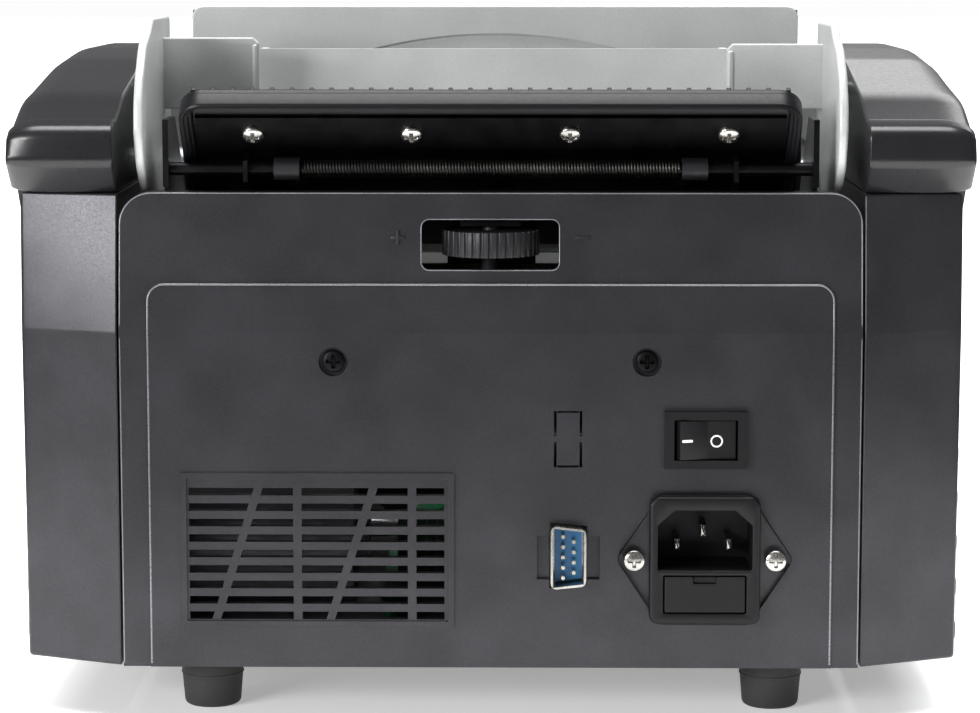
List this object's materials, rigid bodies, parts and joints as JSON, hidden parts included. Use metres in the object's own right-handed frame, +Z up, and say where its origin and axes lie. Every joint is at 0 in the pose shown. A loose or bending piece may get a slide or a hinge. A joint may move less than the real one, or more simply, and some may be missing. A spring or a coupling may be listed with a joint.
{
  "type": "banknote counting machine",
  "caption": "Banknote counting machine with a ribbed top hopper, sliding note guides, roller drive, front stacker bay, keyed control head, and rear mains inlet.",
  "frame": {"origin": "on the resting surface, below the middle of the machine's bounding box", "axes": "+X to the operator's right, +Y to the rear, +Z up"},
  "size_m": [0.2544, 0.2482, 0.1886],
  "materials": {
    "silver_plastic": "satin metallic silver moulding",
    "painted_body": "fine metallic dark grey paint",
    "gloss_body": "dark grey gloss lacquer",
    "black_plastic": "black moulding",
    "rubber": "matt black rubber",
    "steel": "zinc-plated sheet",
    "chrome": "nickel-plated",
    "belt_rubber": "black belt",
    "board_green": "solder-masked board",
    "lens": "dark tinted window",
    "key_rubber": "light grey silicone",
    "start_key_rubber": "green silicone",
    "connector_blue": "blue insulator",
    "roller_rubber": "brown friction rubber",
    "motor_grey": "dark grey can",
    "brass_pins": "gold flash",
    "screw_black": "black oxide"
  },
  "bodies": {
    "machine": {"base_plate": "steel", "control_head": "painted_body", "cover_screws": "screw_black", "display_window": "lens", "drive_belt": "belt_rubber", "drive_motor": "motor_grey", "feet": "rubber", "foot_screws": "steel", "frame_plate_left": "steel", "frame_plate_right": "steel", "head_board": "board_green", "hopper_front_wall": "silver_plastic", "hopper_plate": "silver_plastic", "inlet_housing": "black_plastic", "inlet_pins": "chrome", "inlet_screws": "chrome", "main_board": "board_green", "outer_note_guide": "black_plastic", "pivot_rod": "steel", "pivot_spring": "steel", "rear_cover": "painted_body", "rod_collars": "black_plastic", "serial_insulator": "connector_blue", "serial_pins": "brass_pins", "serial_shell": "chrome", "shoulder_cap_left": "gloss_body", "shoulder_cap_right": "gloss_body", "side_cover_left": "painted_body", "side_cover_right": "painted_body", "stacker_back": "silver_plastic", "stacker_floor": "silver_plastic", "switch_bezel": "black_plastic", "thumbwheel_block": "steel", "tie_rods": "steel", "transformer": "motor_grey"},
    "tray": {"feed_tray": "black_plastic", "tray_screws": "chrome", "tray_bracket": "steel", "retard_rollers": "rubber"},
    "thumbwheel": {"thumbwheel": "black_plastic"},
    "guide_left": {"note_guide_left": "silver_plastic"},
    "guide_right": {"note_guide_right": "silver_plastic"},
    "feed": {"feed_shaft": "steel", "feed_rollers": "roller_rubber"},
    "pickup": {"pickup_shaft": "steel", "pickup_rollers": "roller_rubber"},
    "transport": {"transport_shaft": "steel", "transport_rollers": "rubber"},
    "pinch": {"pinch_shaft": "steel", "pinch_rollers": "rubber"},
    "stacker": {"stacker_shaft": "steel", "impeller_wheels": "black_plastic"},
    "motor_rotor": {"motor_shaft": "steel"},
    "drawer": {"fuse_drawer": "black_plastic"},
    "rocker": {"switch_rocker": "black_plastic"},
    "mode_key": {"mode_key": "key_rubber"},
    "batch_key": {"batch_key": "key_rubber"},
    "add_key": {"add_key": "key_rubber"},
    "clear_key": {"clear_key": "key_rubber"},
    "start_key": {"start_key": "start_key_rubber"}
  },
  "joints": [
    {"name": "thumbwheel_turn", "type": "hinge", "parent": "machine", "child": "thumbwheel", "pos_m": [0, 0.1064, 0.1277], "axis": [0, 0, 1], "range_deg": [-90, 720]},
    {"name": "tray_tilt", "type": "hinge", "parent": "machine", "child": "tray", "pos_m": [0, 0.108, 0.1472], "axis": [1, 0, 0], "range_deg": [-0.27, 2.16]},
    {"name": "guide_left_slide", "type": "slide", "parent": "machine", "child": "guide_left", "axis": [1, 0, 0], "range_m": [0, 0.004]},
    {"name": "guide_right_slide", "type": "slide", "parent": "machine", "child": "guide_right", "axis": [-1, 0, 0], "range_m": [0, 0.004]},
    {"name": "transport_spin", "type": "hinge", "parent": "machine", "child": "transport", "pos_m": [0, 0.046, 0.066], "axis": [1, 0, 0], "continuous": true},
    {"name": "feed_spin", "type": "hinge", "parent": "machine", "child": "feed", "pos_m": [0, 0.046, 0.106], "axis": [1, 0, 0], "continuous": true},
    {"name": "pickup_spin", "type": "hinge", "parent": "machine", "child": "pickup", "pos_m": [0, 0.0415, 0.142], "axis": [1, 0, 0], "continuous": true},
    {"name": "stacker_spin", "type": "hinge", "parent": "machine", "child": "stacker", "pos_m": [0, 0.002, 0.062], "axis": [1, 0, 0], "continuous": true},
    {"name": "motor_spin", "type": "hinge", "parent": "machine", "child": "motor_rotor", "pos_m": [0, 0.092, 0.044], "axis": [1, 0, 0], "continuous": true},
    {"name": "pinch_spin", "type": "hinge", "parent": "machine", "child": "pinch", "pos_m": [0, 0.069, 0.066], "axis": [1, 0, 0], "continuous": true},
    {"name": "fuse_drawer_pull", "type": "slide", "parent": "machine", "child": "drawer", "axis": [0, 1, 0], "range_m": [0, 0.018]},
    {"name": "power_switch", "type": "hinge", "parent": "machine", "child": "rocker", "pos_m": [-0.0571, 0.1186, 0.0764], "axis": [0, 0, -1], "range_deg": [0, 18]},
    {"name": "mode_key_press", "type": "slide", "parent": "machine", "child": "mode_key", "axis": [0, 0.5366, -0.8439], "range_m": [0, 0.0008], "stiffness_N_per_m": 400},
    {"name": "batch_key_press", "type": "slide", "parent": "machine", "child": "batch_key", "axis": [0, 0.5366, -0.8439], "range_m": [0, 0.0008], "stiffness_N_per_m": 400},
    {"name": "add_key_press", "type": "slide", "parent": "machine", "child": "add_key", "axis": [0, 0.5366, -0.8439], "range_m": [0, 0.0008], "stiffness_N_per_m": 400},
    {"name": "clear_key_press", "type": "slide", "parent": "machine", "child": "clear_key", "axis": [0, 0.5366, -0.8439], "range_m": [0, 0.0008], "stiffness_N_per_m": 400},
    {"name": "start_key_press", "type": "slide", "parent": "machine", "child": "start_key", "axis": [0, 0.5366, -0.8439], "range_m": [0, 0.0008], "stiffness_N_per_m": 400}
  ],
  "couplings": [
    {"joint": "tray_tilt", "follows": "thumbwheel_turn", "ratio": 0.003},
    {"joint": "feed_spin", "follows": "transport_spin", "ratio": 1},
    {"joint": "pickup_spin", "follows": "transport_spin", "ratio": 1},
    {"joint": "stacker_spin", "follows": "transport_spin", "ratio": -0.2},
    {"joint": "pinch_spin", "follows": "transport_spin", "ratio": -1.75},
    {"joint": "motor_spin", "follows": "transport_spin", "ratio": 1.5714}
  ]
}
